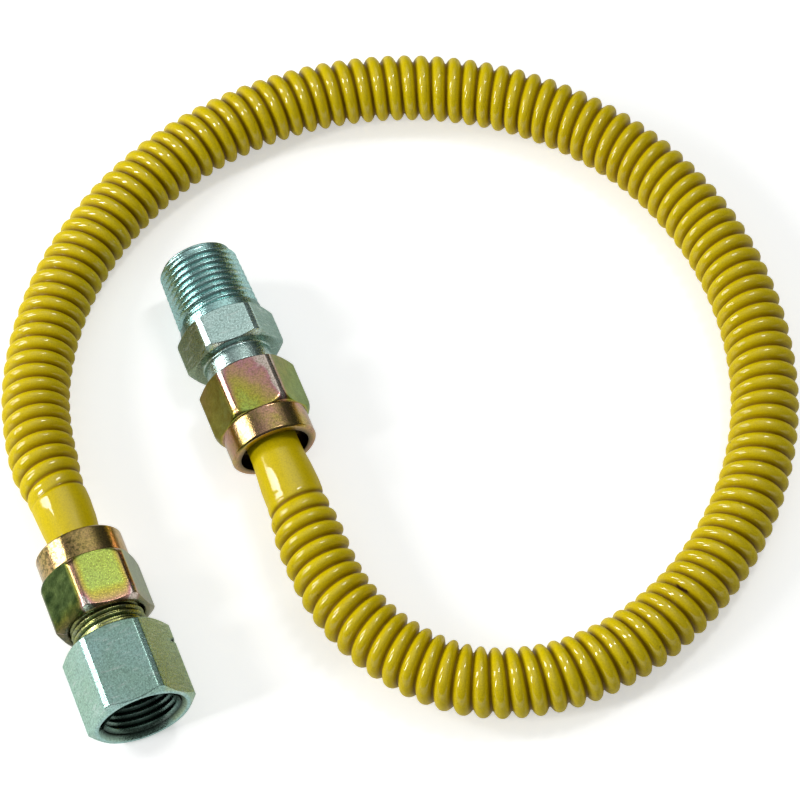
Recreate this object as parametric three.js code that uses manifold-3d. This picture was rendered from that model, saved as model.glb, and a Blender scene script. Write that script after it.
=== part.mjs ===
// Flexible gas connector: a coated metal hose with one rolled-in helical ridge,
// held by a flare nut at each end to a female and to a male pipe adapter.
// Millimetres, +Z up. The hose lies on the plane z = 0 in one open loop.
import * as THREE from 'three';
import { mergeVertices } from 'three/addons/utils/BufferGeometryUtils.js';
import Module from 'manifold-3d';

const wasm = await Module();
wasm.setup();

// Hose: sizes over the coating
const cuffDiameter = 13.2;
const crestDiameter = 17.5;
const valleyDiameter = 13.8;
const boreDiameter = 11.0;
const ridgePitch = 4.22;
const crestShare = 0.4;
const cuffLength = 13.5;
const cuffSwellDiameter = 14.7;
const ridgeRunIn = 13;
const flareDiameter = 17.4;
const flareWall = 0.9;

// Flare joint and nuts
const clearance = 0.3;
const flareThreadDiameter = 18.9;
const threadEngagement = 8.2;
const nutAcrossFlats = 22.8;
const nutHexLength = 14.6;
const nutCornerBreak = 1.3;
const collarDiameter = 22.4;
const collarLength = 7.3;
const collarOpening = 16.8;
const collarOpeningDepth = 5;
const nutShoulderRun = 1.9;

// Adapters
const gasPassage = 10.4;
const neckDiameter = 17.8;
const undercutLength = 0.8;
const cornerBreak = 1.6;
const hexChamfer = Math.PI / 6;
const hexFaceShare = 0.97;
const mouthEdgeBreak = 0.5;

// Female adapter, half inch pipe socket
const femaleAcrossFlats = 24.8;
const femaleHexLength = 21.2;
const femaleStandOff = 5.7;
const socketMouthDiameter = 22.8;
const socketMouthDepth = 1.3;
const socketDiameter = 20;
const socketDepth = 14.5;
const drillPoint = Math.PI / 3;

// Male adapter, half inch taper pipe thread
const maleAcrossFlats = 23.2;
const maleHexLength = 10.1;
const maleStandOff = 6;
const maleThreadRunOut = 1;
const pipeShankDiameter = 22;
const pipeShankLength = 2.2;
const pipeThreadLength = 18.8;
const pipeThreadTipDiameter = 20.7;
const pipeTaper = 1 / 16;
const tipChamfer = 1;
const tipBore = 13;

// Where the two fittings lie, and how far each hexagon is turned from a level flat
const femaleAxisX = -92;
const femaleNutFaceY = -38.3;
const maleAxisX = -36.9;
const maleNutFaceY = 13.9;
const femaleHexTurn = THREE.MathUtils.degToRad(5.3);
const femaleNutTurn = THREE.MathUtils.degToRad(-11.3);
const maleHexTurn = THREE.MathUtils.degToRad(-1.8);
const maleNutTurn = THREE.MathUtils.degToRad(-3.3);

// Route of the hose's centre line between its cuffs: x, y, and how far it is
// lifted from the floor towards the axis of the nearer fitting, from 0 to 1
const route = [
  [-92.3, 9, 0.85],
  [-88.2, 28.8, 0.5],
  [-79.4, 46.7, 0.2],
  [-67, 62.3, 0.04],
  [-51.5, 74.9, 0],
  [-33.8, 84, 0],
  [-14.5, 89.2, 0],
  [5.5, 90.2, 0],
  [25.1, 86.9, 0],
  [43.7, 79.7, 0],
  [60.4, 68.7, 0],
  [74.3, 54.3, 0],
  [84.6, 37.3, 0],
  [90.7, 18.2, 0],
  [92.5, -1.6, 0],
  [90.2, -21.5, 0],
  [83.9, -40.4, 0],
  [73.5, -57.4, 0],
  [59.6, -71.7, 0],
  [42.8, -82.6, 0],
  [23.9, -89, 0],
  [4, -89.6, 0],
  [-14.7, -82.9, 0],
  [-28.5, -68.7, 0.08],
  [-36.2, -50.4, 0.4],
];
const routeTurnsToMaleAt = route.length / 2;

// Facets
const hoseSides = 12;
const latheSides = 32;
const routeSamples = 1200;
const boreStep = 11;

// Colours
const yellowCoat = { color: 0xc9b414, roughness: 0.35, metalness: 0 };
const yellowZinc = { color: 0xa39a5e, roughness: 0.3, metalness: 1 };
const clearZinc = { color: 0xb4c0bf, roughness: 0.35, metalness: 1 };

// Sizes that follow from the ones above
const cuffRadius = cuffDiameter / 2;
const swellRadius = cuffSwellDiameter / 2;
const crestRadius = crestDiameter / 2;
const valleyRadius = valleyDiameter / 2;
const boreRadius = boreDiameter / 2;
const flareRadius = flareDiameter / 2;
const flareThreadRadius = flareThreadDiameter / 2;
const nutBoreRadius = flareThreadRadius + clearance;
const tubeHoleRadius = cuffRadius + clearance;
const passageRadius = gasPassage / 2;
const neckRadius = neckDiameter / 2;
const nutLength = nutHexLength + collarLength;
const coneGap = clearance * Math.SQRT2;
const coneWall = flareWall * Math.SQRT2;
// Along a fitting's axis, from the nut's open face at 0 towards the adapter's mouth
const noseRoot = -threadEngagement;
const flareTip = noseRoot - (flareThreadRadius - flareRadius) - coneGap;
const flareRoot = flareTip - coneWall - (flareRadius - cuffRadius);
const tubeEnd = flareTip - coneWall / 2;
const seatFoot = flareRoot - coneGap + clearance;
const seatTop = seatFoot + nutBoreRadius - tubeHoleRadius;

function revolve(points) {
  const profile = points.map(([r, z]) => new THREE.Vector2(r, z));
  const lathe = new THREE.LatheGeometry(profile, latheSides);
  lathe.rotateX(Math.PI / 2);
  return lathe;
}

function solid(geometry) {
  const bare = geometry.clone();
  bare.deleteAttribute('normal');
  bare.deleteAttribute('uv');
  const merged = mergeVertices(bare, 1e-4);
  return new wasm.Manifold(new wasm.Mesh({
    numProp: 3,
    vertProperties: new Float32Array(merged.attributes.position.array),
    triVerts: new Uint32Array(merged.index.array),
  }));
}

function geometryOf(manifold) {
  const mesh = manifold.getMesh();
  const geometry = new THREE.BufferGeometry();
  geometry.setAttribute('position', new THREE.BufferAttribute(mesh.vertProperties, 3));
  geometry.setIndex(new THREE.BufferAttribute(mesh.triVerts, 1));
  return geometry;
}

// A hexagon bar from z0 to z1 with its six corners planed flat, a flat on top
function hexagonBar(acrossFlats, cornerWidth, z0, z1) {
  const corner = acrossFlats / Math.sqrt(3) - cornerWidth / 2 / Math.tan(Math.PI / 3);
  const outline = new THREE.Shape();
  for (let side = 0; side < 6; side += 1) {
    const middle = side * Math.PI / 3;
    for (const end of [-1, 1]) {
      const x = corner * Math.cos(middle) - end * cornerWidth / 2 * Math.sin(middle);
      const y = corner * Math.sin(middle) + end * cornerWidth / 2 * Math.cos(middle);
      if (side === 0 && end === -1) outline.moveTo(x, y);
      else outline.lineTo(x, y);
    }
  }
  outline.closePath();
  const bar = new THREE.ExtrudeGeometry(outline, { depth: z1 - z0, bevelEnabled: false });
  bar.translate(0, 0, z0);
  return solid(bar);
}

// What is left of a hexagon bar when both its ends are turned to a cone:
// each end is given as its radius on the face and its axial run for each mm of radius
function turnedHexagon(acrossFlats, cornerWidth, z0, z1, low, high) {
  const reach = acrossFlats / Math.sqrt(3);
  const barrel = revolve([
    [0, z0],
    [low.radius, z0],
    [reach, z0 + (reach - low.radius) * low.run],
    [reach, z1 - (reach - high.radius) * high.run],
    [high.radius, z1],
    [0, z1],
  ]);
  return solid(barrel).intersect(hexagonBar(acrossFlats, cornerWidth, z0, z1));
}

function chamferOf(acrossFlats) {
  return { radius: acrossFlats / 2 * hexFaceShare, run: Math.tan(hexChamfer) };
}

function flareNut() {
  const junction = -nutHexLength;
  const shoulder = {
    radius: collarDiameter / 2,
    run: nutShoulderRun / (nutAcrossFlats / Math.sqrt(3) - collarDiameter / 2),
  };
  const hexagon = turnedHexagon(
    nutAcrossFlats, nutCornerBreak, junction, 0, shoulder, chamferOf(nutAcrossFlats));
  const collarRadius = collarDiameter / 2;
  const collar = solid(revolve([
    [0, -nutLength],
    [collarRadius - mouthEdgeBreak, -nutLength],
    [collarRadius, -nutLength + mouthEdgeBreak],
    [collarRadius, junction + clearance],
    [0, junction + clearance],
  ]));
  const openingRadius = collarOpening / 2;
  const bore = solid(revolve([
    [0, -nutLength - 1],
    [openingRadius, -nutLength - 1],
    [openingRadius, -nutLength + collarOpeningDepth],
    [tubeHoleRadius, -nutLength + collarOpeningDepth],
    [tubeHoleRadius, seatFoot],
    [nutBoreRadius, seatTop],
    [nutBoreRadius, -mouthEdgeBreak],
    [nutBoreRadius + mouthEdgeBreak + 1, 1],
    [0, 1],
  ]));
  return geometryOf(hexagon.add(collar).subtract(bore));
}

// The end that both adapters screw into a nut: a coned nose, the flare thread
// up to threadEnd, and a plain neck that runs a little way into the hexagon
function flareEnd(threadEnd, hexStart) {
  const noseTip = noseRoot - (flareThreadRadius - passageRadius) + mouthEdgeBreak;
  return revolve([
    [0, noseTip],
    [passageRadius + mouthEdgeBreak, noseTip],
    [flareThreadRadius, noseRoot],
    [flareThreadRadius, threadEnd],
    [neckRadius, threadEnd + flareThreadRadius - neckRadius],
    [neckRadius, hexStart + 1],
    [0, hexStart + 1],
  ]);
}

function passage(z0, z1) {
  return revolve([[0, z0], [passageRadius, z0], [passageRadius, z1], [0, z1]]);
}

function femaleAdapter() {
  const hexStart = femaleStandOff;
  const mouth = hexStart + femaleHexLength;
  const chamfer = chamferOf(femaleAcrossFlats);
  const hexagon = turnedHexagon(
    femaleAcrossFlats, cornerBreak, hexStart, mouth, chamfer, chamfer);
  const threadEnd = hexStart - undercutLength - (flareThreadRadius - neckRadius);
  const socketRadius = socketDiameter / 2;
  const socketMouthRadius = socketMouthDiameter / 2;
  const socket = solid(revolve([
    [0, mouth - socketDepth - (socketRadius - passageRadius) / Math.tan(drillPoint)],
    [passageRadius, mouth - socketDepth - (socketRadius - passageRadius) / Math.tan(drillPoint)],
    [socketRadius, mouth - socketDepth],
    [socketRadius, mouth - socketMouthDepth],
    [socketMouthRadius, mouth],
    [socketMouthRadius, mouth + 1],
    [0, mouth + 1],
  ]));
  return geometryOf(hexagon
    .add(solid(flareEnd(threadEnd, hexStart)))
    .subtract(socket)
    .subtract(solid(passage(-nutLength, mouth - socketDepth))));
}

function maleAdapter() {
  const hexStart = maleStandOff;
  const hexEnd = hexStart + maleHexLength;
  const shankEnd = hexEnd + pipeShankLength;
  const tip = shankEnd + pipeThreadLength;
  const chamfer = chamferOf(maleAcrossFlats);
  const hexagon = turnedHexagon(
    maleAcrossFlats, cornerBreak, hexStart, hexEnd, chamfer, chamfer);
  const tipRadius = pipeThreadTipDiameter / 2;
  const pipe = solid(revolve([
    [0, hexEnd - 1],
    [pipeShankDiameter / 2, hexEnd - 1],
    [pipeShankDiameter / 2, shankEnd],
    [tipRadius + (pipeThreadLength - tipChamfer) * pipeTaper / 2, shankEnd + mouthEdgeBreak],
    [tipRadius, tip - tipChamfer],
    [tipRadius - tipChamfer, tip],
    [0, tip],
  ]));
  const bore = solid(revolve([
    [0, hexEnd],
    [passageRadius, hexEnd],
    [tipBore / 2, hexEnd + (tipBore / 2 - passageRadius) / Math.tan(drillPoint)],
    [tipBore / 2, tip + 1],
    [0, tip + 1],
  ]));
  return geometryOf(hexagon
    .add(pipe)
    .add(solid(flareEnd(maleThreadRunOut, hexStart)))
    .subtract(bore)
    .subtract(solid(passage(-nutLength, hexEnd + 1))));
}

// The height at which a fitting's axis lies when its lowest edge is on the floor
function lowestReach(geometry, turn) {
  const turned = geometry.clone().rotateZ(turn);
  turned.computeBoundingBox();
  return -turned.boundingBox.min.y;
}

const nutGeometry = flareNut();
const femaleGeometry = femaleAdapter();
const maleGeometry = maleAdapter();
const femaleAxisHeight = Math.max(
  lowestReach(femaleGeometry, femaleHexTurn), lowestReach(nutGeometry, femaleNutTurn));
const maleAxisHeight = Math.max(
  lowestReach(maleGeometry, maleHexTurn), lowestReach(nutGeometry, maleNutTurn));

// Centre line: straight out of each nut for the length of the cuff, then the route.
// sense is +1 where the hose leaves its fitting along +Y and -1 where it leaves along -Y
function cuffPoints(axisX, nutFaceY, axisHeight, sense) {
  const flareEndY = nutFaceY - sense * tubeEnd;
  const collarEnd = nutFaceY + sense * nutLength;
  return [
    new THREE.Vector3(axisX, flareEndY, axisHeight),
    new THREE.Vector3(axisX, (flareEndY + collarEnd) / 2, axisHeight),
    new THREE.Vector3(axisX, collarEnd, axisHeight),
    new THREE.Vector3(axisX, collarEnd + sense * cuffLength * 0.7, axisHeight),
  ];
}

function centreLine() {
  const between = route.map(([x, y, lift], index) => {
    const axisHeight = index < routeTurnsToMaleAt ? femaleAxisHeight : maleAxisHeight;
    return new THREE.Vector3(x, y, crestRadius + lift * (axisHeight - crestRadius));
  });
  const start = cuffPoints(femaleAxisX, femaleNutFaceY, femaleAxisHeight, 1);
  const end = cuffPoints(maleAxisX, maleNutFaceY, maleAxisHeight, -1).reverse();
  return new THREE.CatmullRomCurve3([...start, ...between, ...end], false, 'centripetal');
}

// Bends a straight tube onto the centre line. A tube point is (along, radius, angle)
function bender(curve) {
  curve.arcLengthDivisions = routeSamples;
  const length = curve.getLength();
  const up = new THREE.Vector3(0, 0, 1);
  function place(along, radius, angle) {
    const share = THREE.MathUtils.clamp(along / length, 0, 1);
    const centre = curve.getPointAt(share);
    const ahead = curve.getTangentAt(share);
    const left = new THREE.Vector3().crossVectors(up, ahead).normalize();
    const top = new THREE.Vector3().crossVectors(ahead, left);
    return centre
      .addScaledVector(left, radius * Math.cos(angle))
      .addScaledVector(top, radius * Math.sin(angle));
  }
  return { length, place };
}

// The coated hose: a plain bore, flared ends, smooth cuffs, and between them one
// helical ridge whose height grows from nothing over its first turns
function corrugatedHose() {
  const { length, place } = bender(centreLine());
  const flareLip = coneWall / 2;
  const flareLength = tubeEnd - flareRoot;
  const collarFrom = tubeEnd + nutLength;
  const ridgeStart = collarFrom + cuffLength;
  const turns = Math.round((length - 2 * ridgeStart) / ridgePitch);
  const pitch = (length - 2 * ridgeStart) / (turns + 1);
  const positions = [];
  const faces = [];

  function vertex(along, radius, angle) {
    const point = place(along, radius, angle);
    positions.push(point.x, point.y, point.z);
    return positions.length / 3 - 1;
  }

  function ring(along, radius) {
    const ids = [];
    for (let side = 0; side < hoseSides; side += 1) {
      ids.push(vertex(along, radius, side / hoseSides * 2 * Math.PI));
    }
    return [...ids, ids[0]];
  }

  function quad(a, b, c, d) {
    faces.push(a, b, c, a, c, d);
  }

  function band(first, second) {
    for (let side = 0; side < hoseSides; side += 1) {
      quad(first[side], first[side + 1], second[side + 1], second[side]);
    }
  }

  function ridgeShare(along) {
    const fromEnd = Math.min(along - ridgeStart, length - ridgeStart - along);
    return THREE.MathUtils.smoothstep(fromEnd, -pitch, ridgeRunIn);
  }

  // Rows of one pitch: the groove, then both edges of the crest
  const rows = [[0, 0], [(1 - crestShare) / 2, 1], [(1 + crestShare) / 2, 1]];
  const helix = rows.map(([shift, height], index) => {
    const turnCount = index === 0 ? turns + 1 : turns;
    const ids = [];
    for (let step = 0; step <= turnCount * hoseSides; step += 1) {
      const along = ridgeStart + pitch * (step / hoseSides + shift);
      const target = height ? crestRadius : valleyRadius;
      const radius = THREE.MathUtils.lerp(swellRadius, target, ridgeShare(along));
      ids.push(vertex(along, radius, step / hoseSides * 2 * Math.PI));
    }
    return ids;
  });

  const cuffStart = [ring(flareLip, flareRadius), ring(flareLength, cuffRadius),
    ring(collarFrom, cuffRadius), ring(ridgeStart - pitch / 2, swellRadius)];
  const cuffEnd = [ring(length - ridgeStart + pitch / 2, swellRadius),
    ring(length - collarFrom, cuffRadius),
    ring(length - flareLength, cuffRadius), ring(length - flareLip, flareRadius)];
  const innerFlare = flareRadius - flareLip;
  const boreFrom = innerFlare - boreRadius;
  const boreCount = Math.ceil((length - 2 * boreFrom) / boreStep);
  const boreRings = [ring(length, innerFlare)];
  for (let step = boreCount; step >= 0; step -= 1) {
    boreRings.push(ring(boreFrom + (length - 2 * boreFrom) * step / boreCount, boreRadius));
  }
  boreRings.push(ring(0, innerFlare));

  for (let index = 1; index < cuffStart.length; index += 1) {
    band(cuffStart[index - 1], cuffStart[index]);
    band(cuffEnd[index - 1], cuffEnd[index]);
  }
  band(cuffEnd.at(-1), boreRings[0]);
  for (let index = 1; index < boreRings.length; index += 1) {
    band(boreRings[index - 1], boreRings[index]);
  }
  band(boreRings.at(-1), cuffStart[0]);

  const last = turns * hoseSides;
  for (let step = 0; step < last; step += 1) {
    for (let row = 1; row < rows.length; row += 1) {
      quad(helix[row - 1][step], helix[row - 1][step + 1], helix[row][step + 1], helix[row][step]);
    }
    quad(helix.at(-1)[step], helix.at(-1)[step + 1],
      helix[0][step + 1 + hoseSides], helix[0][step + hoseSides]);
  }

  // Where the groove starts and ends, the step of one pitch is closed by a fan
  const from = cuffStart.at(-1);
  for (let side = 0; side < hoseSides - 1; side += 1) {
    quad(from[side], from[side + 1], helix[0][side + 1], helix[0][side]);
  }
  const startFan = [from[hoseSides], ...helix.map((row) => row[0]),
    helix[0][hoseSides], helix[0][hoseSides - 1]];
  for (let index = 1; index < startFan.length; index += 1) {
    faces.push(from[hoseSides - 1], startFan[index - 1], startFan[index]);
  }
  const to = cuffEnd[0];
  for (let side = 1; side < hoseSides; side += 1) {
    quad(helix[0][last + side], helix[0][last + side + 1], to[side + 1], to[side]);
  }
  const endFan = [to[0], helix[0][last + hoseSides],
    ...helix.map((row) => row[last]).reverse(), helix[0][last + 1]];
  for (let index = 1; index < endFan.length; index += 1) {
    faces.push(to[1], endFan[index - 1], endFan[index]);
  }

  const geometry = new THREE.BufferGeometry();
  geometry.setAttribute('position', new THREE.Float32BufferAttribute(positions, 3));
  geometry.setIndex(faces);
  return geometry;
}

function piece(name, geometry, look) {
  const mesh = new THREE.Mesh(geometry, new THREE.MeshStandardMaterial(look));
  mesh.name = name;
  return mesh;
}

// A fitting is built along its own +Z, towards its mouth, with its top along +Y
function fitting(pieces, axisX, nutFaceY, axisHeight, heading) {
  const upright = new THREE.Group();
  upright.rotation.x = Math.PI / 2;
  for (const [mesh, turn] of pieces) {
    mesh.rotation.z = turn;
    upright.add(mesh);
  }
  const end = new THREE.Group();
  end.rotation.z = heading;
  end.position.set(axisX, nutFaceY, axisHeight);
  end.add(upright);
  return end;
}

const femaleEnd = fitting([
  [piece('female_end_nut', nutGeometry, yellowZinc), femaleNutTurn],
  [piece('female_pipe_adapter', femaleGeometry, clearZinc), femaleHexTurn],
], femaleAxisX, femaleNutFaceY, femaleAxisHeight, 0);
const maleEnd = fitting([
  [piece('male_end_nut', nutGeometry, yellowZinc), maleNutTurn],
  [piece('male_pipe_adapter', maleGeometry, clearZinc), maleHexTurn],
], maleAxisX, maleNutFaceY, maleAxisHeight, Math.PI);

const connector = new THREE.Group();
connector.add(piece('corrugated_hose', corrugatedHose(), yellowCoat), femaleEnd, maleEnd);

// The origin is the middle of the whole connector's footprint, on the floor
const box = new THREE.Box3().setFromObject(connector, true);
const middle = box.getCenter(new THREE.Vector3());
connector.position.set(-middle.x, -middle.y, -box.min.z);

export default connector;
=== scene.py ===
# %% [markdown]
# # A flexible gas hose
# The part is a connector for a gas appliance: a metal tube with one helical ridge
# rolled into it, coated yellow, with a flare nut and a zinc-plated pipe adapter at
# each end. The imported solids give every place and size. This lesson dresses them:
# each of the five pieces gets a finer mesh in the same place, and its own finish.

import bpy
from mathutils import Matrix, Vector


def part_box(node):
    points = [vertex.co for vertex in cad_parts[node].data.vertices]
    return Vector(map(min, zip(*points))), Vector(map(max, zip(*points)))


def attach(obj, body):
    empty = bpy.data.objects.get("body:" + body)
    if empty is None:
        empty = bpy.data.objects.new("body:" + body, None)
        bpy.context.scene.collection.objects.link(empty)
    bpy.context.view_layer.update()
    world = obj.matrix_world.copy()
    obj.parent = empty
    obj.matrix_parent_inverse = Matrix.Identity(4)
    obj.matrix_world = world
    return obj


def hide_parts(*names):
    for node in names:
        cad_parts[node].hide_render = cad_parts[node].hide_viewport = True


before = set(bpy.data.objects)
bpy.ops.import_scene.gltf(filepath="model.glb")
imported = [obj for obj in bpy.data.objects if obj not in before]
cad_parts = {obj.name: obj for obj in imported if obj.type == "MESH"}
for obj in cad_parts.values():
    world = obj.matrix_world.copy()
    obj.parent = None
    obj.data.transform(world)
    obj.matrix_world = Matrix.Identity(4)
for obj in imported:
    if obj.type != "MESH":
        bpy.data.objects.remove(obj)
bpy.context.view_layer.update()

# %% Tools and units
import math

import bpy
import numpy as np
from mathutils import Vector

MM = 0.001
TAU = 2 * math.pi
scene = bpy.context.scene
ORIGIN = np.array([2.3071, -0.0953, 0.0178]) * MM
print("the route's own origin lies at", ORIGIN.round(7).tolist())

# %% [markdown]
# ## The camera
# The picture was taken from well above, with a long lens, so that the loop is only a
# little flattened. The camera looks at the middle of the loop from that height. It is
# made first, because the hose has to lie inside what it sees.

# %% The camera
CAMERA_TURN = math.radians(21.4)
CAMERA_ELEVATION = math.radians(61.5)
CAMERA_DISTANCE = 864 * MM
IMAGE_PIXELS = 800
FOCAL_PIXELS = 3350
SENSOR_MM = 36.0

sight = Vector((math.sin(CAMERA_TURN) * math.cos(CAMERA_ELEVATION),
                math.cos(CAMERA_TURN) * math.cos(CAMERA_ELEVATION),
                -math.sin(CAMERA_ELEVATION)))
lens = bpy.data.cameras.new("studio_camera")
lens.sensor_width = SENSOR_MM
lens.lens = FOCAL_PIXELS / IMAGE_PIXELS * SENSOR_MM
lens.clip_start = 0.02
camera = bpy.data.objects.new("studio_camera", lens)
camera.location = Vector(ORIGIN) - sight * CAMERA_DISTANCE
camera.rotation_mode = "QUATERNION"
camera.rotation_quaternion = sight.to_track_quat("-Z", "Y")
scene.collection.objects.link(camera)
scene.camera = camera
print("lens", round(lens.lens, 2), "mm, camera at", [round(x, 4) for x in camera.location])

# %% [markdown]
# ## The hose's centre line
# A formed metal hose keeps the curve it was bent to, so its route is one smooth line
# through listed points: straight out of each nut for the length of the smooth
# cuff, then down to the floor and round the loop. It is the line that the solid was
# bent along, so the fine hose lies exactly where the solid does.

# %% Where the two fittings lie
NUT_LENGTH = 21.9 * MM
CUFF_LENGTH = 13.5 * MM
TUBE_END = 10.0113 * MM


class FittingEnd:
    """One end of the connector: its axis, the nut's open face, and which way is out."""

    def __init__(self, nut, outward):
        low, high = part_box(nut)
        self.x = (low.x + high.x) / 2
        self.z = (low.z + high.z) / 2
        self.face = high.y if outward > 0 else low.y
        self.outward = outward

    def place(self, side, top, out):
        """Points given across, up and outward along the axis, in the row frame."""
        return np.stack([self.x - self.outward * side, self.face + self.outward * out,
                         self.z + top], axis=-1)


female_end = FittingEnd("female_end_nut", -1)
male_end = FittingEnd("male_end_nut", 1)
for label, end in (("female", female_end), ("male", male_end)):
    print(label, "axis", round(end.x, 6), round(end.z, 6), "face", round(end.face, 6))

# %% The route's points
CREST_RADIUS = 8.75 * MM
ROUTE_MM = (
    (-92.3, 9, 0.85), (-88.2, 28.8, 0.5), (-79.4, 46.7, 0.2), (-67, 62.3, 0.04),
    (-51.5, 74.9, 0), (-33.8, 84, 0), (-14.5, 89.2, 0), (5.5, 90.2, 0),
    (25.1, 86.9, 0), (43.7, 79.7, 0), (60.4, 68.7, 0), (74.3, 54.3, 0),
    (84.6, 37.3, 0), (90.7, 18.2, 0), (92.5, -1.6, 0), (90.2, -21.5, 0),
    (83.9, -40.4, 0), (73.5, -57.4, 0), (59.6, -71.7, 0), (42.8, -82.6, 0),
    (23.9, -89, 0), (4, -89.6, 0), (-14.7, -82.9, 0), (-28.5, -68.7, 0.08),
    (-36.2, -50.4, 0.4),
)


def cuff_points(end):
    """The straight line inside the nut and through its cuff."""
    outs = (-TUBE_END, -(TUBE_END + NUT_LENGTH) / 2, -NUT_LENGTH,
            -NUT_LENGTH - 0.7 * CUFF_LENGTH)
    return [end.place(0, 0, out) for out in outs]


def route_points():
    points = cuff_points(female_end)
    for index, (x, y, lift) in enumerate(ROUTE_MM):
        axis_height = (female_end if index < len(ROUTE_MM) / 2 else male_end).z - ORIGIN[2]
        height = CREST_RADIUS + lift * (axis_height - CREST_RADIUS)
        points.append(np.array([x * MM, y * MM, height]) + ORIGIN)
    return np.array(points + cuff_points(male_end)[::-1])


route = route_points()
print("the route has", len(route), "points")


# %% One smooth line through the points
def smooth_line(points, steps=160):
    """A centripetal Catmull-Rom curve, as points and directions along it."""
    ends = [2 * points[0] - points[1], *points, 2 * points[-1] - points[-2]]
    share = np.linspace(0, 1, steps, endpoint=False)[:, None]
    places = []
    for before, here, there, after in zip(ends, ends[1:], ends[2:], ends[3:]):
        gaps = [math.sqrt(math.dist(a, b))
                for a, b in ((before, here), (here, there), (there, after))]
        leave = ((here - before) / gaps[0] - (there - before) / (gaps[0] + gaps[1])
                 + (there - here) / gaps[1]) * gaps[1]
        arrive = ((there - here) / gaps[1] - (after - here) / (gaps[1] + gaps[2])
                  + (after - there) / gaps[2]) * gaps[1]
        square = -3 * here + 3 * there - 2 * leave - arrive
        cube = 2 * here - 2 * there + leave + arrive
        places.append(here + leave * share + square * share ** 2 + cube * share ** 3)
    line = np.concatenate([*places, points[-1:]])
    ahead = np.gradient(line, axis=0)
    return line, ahead / np.linalg.norm(ahead, axis=1)[:, None]


line, line_ahead = smooth_line(route)
line_along = np.concatenate([[0], np.cumsum(np.linalg.norm(np.diff(line, axis=0), axis=1))])
hose_length = line_along[-1]
print("tube from flare to flare:", round(hose_length, 4), "m")


def bend_onto_line(along, radius, angle):
    """A point of a straight tube, given along it and round it, bent onto the line."""
    def read(values):
        return np.stack([np.interp(along, line_along, values[:, k]) for k in range(3)], -1)

    centre, ahead = read(line), read(line_ahead)
    left = np.cross([0, 0, 1], ahead)
    left /= np.linalg.norm(left, axis=-1)[..., None]
    top = np.cross(ahead, left)
    return (centre + left * (radius * np.cos(angle))[..., None]
            + top * (radius * np.sin(angle))[..., None])


# %% [markdown]
# ## Meshes from lists of corners
# All the pieces are turned, formed or threaded, so their meshes are worked out as
# arrays of corners instead of being modelled by hand. A helper turns the arrays into
# an object, and stores numbers on the corners for the finishes to read, such as how
# deep in a groove a corner lies.

# %% A mesh from arrays
def make_piece(name, corners, faces, marks=None, sharp_angle=None):
    """An object from corners and faces. marks are named values, one for each corner."""
    mesh = bpy.data.meshes.new(name)
    mesh.from_pydata(np.asarray(corners).tolist(), [], [list(face) for face in faces])
    for mark, values in (marks or {}).items():
        attribute = mesh.attributes.new(mark, "FLOAT", "POINT")
        attribute.data.foreach_set("value", np.asarray(values, np.float32))
    mesh.validate()
    mesh.shade_smooth()
    if sharp_angle is not None:
        mesh.set_sharp_from_angle(angle=math.radians(sharp_angle))
    piece = bpy.data.objects.new(name, mesh)
    scene.collection.objects.link(piece)
    print(name, len(mesh.vertices), "corners", len(mesh.polygons), "faces")
    return piece


def strip(first, second, flipped=False):
    """Faces between two rows of corners, turned inside out if flipped."""
    return [(b, a, c, d) if flipped else (a, b, d, c)
            for a, b, c, d in zip(first, first[1:], second, second[1:])]


def band(first, second):
    """Faces between two closed rows of the same number of corners."""
    return strip([*first, first[0]], [*second, second[0]])


# %% [markdown]
# ## The hose
# The ridge is rolled in as one right-handed helix, not as separate rings, so each
# turn is a bulge that ends one pitch further on. A mesh with straight rings would cut
# across the groove and show steps, so its rows follow the helix: a narrow flat groove,
# then up and over a bulge that is nearly a parabola, as rolled metal tube is. The bulge
# grows out of the smooth cuff over about three turns. The inside wall is made the same
# way, with fewer rows.

# %% Sizes of the hose
CUFF_RADIUS = 6.6 * MM
SWELL_RADIUS = 7.35 * MM
VALLEY_RADIUS = 6.9 * MM
FINE_CREST_RADIUS = 8.73 * MM
WALL = 0.75 * MM
FLARE_RADIUS = 8.7 * MM
FLARE_LIP = 0.6364 * MM
FLARE_LENGTH = 3.37 * MM
RIDGE_PITCH = 4.22 * MM
RIDGE_RUN_IN = 13 * MM
GROOVE_RUN_IN = 1.7 * MM
GROOVE_SHARE = 0.08
GROOVE_FLAT = 0.75
RIDGE_POINT = 2.4
RIDGE_ROWS = 12
CUFF_MARK = 0.75
FLARE_NECK = (0.6 * FLARE_LENGTH, 7.4 * MM)
HOSE_SIDES = 36

cuff_from = NUT_LENGTH - TUBE_END
ridge_start = cuff_from + CUFF_LENGTH
ridge_turns = round((hose_length - 2 * ridge_start) / RIDGE_PITCH)
pitch = (hose_length - 2 * ridge_start) / (ridge_turns + 1)
turns = ridge_turns + 2
helix_start = ridge_start - pitch
print(ridge_turns, "turns of", round(pitch / MM, 3), "mm, and a plain one at each end")


def ease(value):
    value = np.clip(value, 0, 1)
    return value * value * (3 - 2 * value)


def ridge_rows(count):
    """Shares of the pitch and of the height: a flat groove, then the pointed bulge."""
    across = np.linspace(-1, 1, count)
    height = 1 - np.abs(across) ** RIDGE_POINT
    foot = GROOVE_SHARE / 2
    flat = foot * GROOVE_FLAT
    return [(0.0, 0.0), (flat, 0.0), *zip(0.5 + across * (0.5 - foot), height),
            (1 - flat, 0.0)]


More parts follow.
